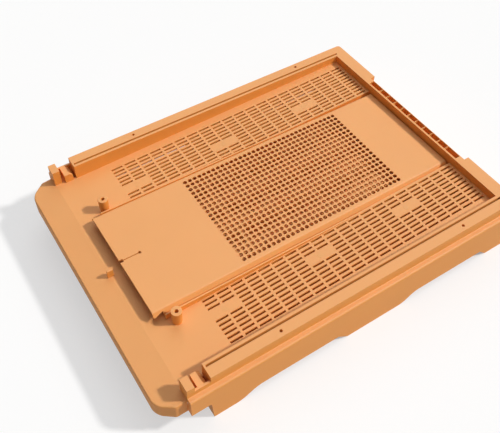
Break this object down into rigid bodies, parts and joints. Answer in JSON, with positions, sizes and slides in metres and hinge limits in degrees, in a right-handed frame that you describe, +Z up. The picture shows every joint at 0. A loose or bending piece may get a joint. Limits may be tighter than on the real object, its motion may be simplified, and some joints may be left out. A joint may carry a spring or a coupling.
{
  "type": "hive bottom board",
  "caption": "Ventilated plastic bottom board for a ten-frame beehive, with slotted floor, sliding perforated panel, landing board, hive rails and feet.",
  "frame": {"origin": "middle of the board's outline on the ground, under its feet", "axes": "+Z up, -Y towards the landing board at the bees' entrance, +X to the right of someone who looks along +Y"},
  "size_m": [0.429, 0.5896, 0.0995],
  "materials": {
    "board_plastic": "satin, even moulded grain, through-coloured peach orange",
    "panel_plastic": "satin, even moulded grain, through-coloured peach orange"
  },
  "bodies": {
    "base": {"landing_board": "board_plastic", "channel_floor": "board_plastic", "slotted_floor_right": "board_plastic", "slotted_floor_left": "board_plastic", "rail_right": "board_plastic", "rail_left": "board_plastic", "back_wall": "board_plastic", "gate_block_right": "board_plastic", "gate_block_left": "board_plastic", "skirt_right": "board_plastic", "skirt_left": "board_plastic", "skirt_back": "board_plastic", "post_right": "board_plastic", "post_left": "board_plastic", "stop_peg": "board_plastic"},
    "panel": {"vent_panel": "panel_plastic"}
  },
  "joints": [
    {"name": "panel_slide", "type": "slide", "parent": "base", "child": "panel", "axis": [0, -1, 0.0075], "range_m": [0, 0.4]}
  ]
}
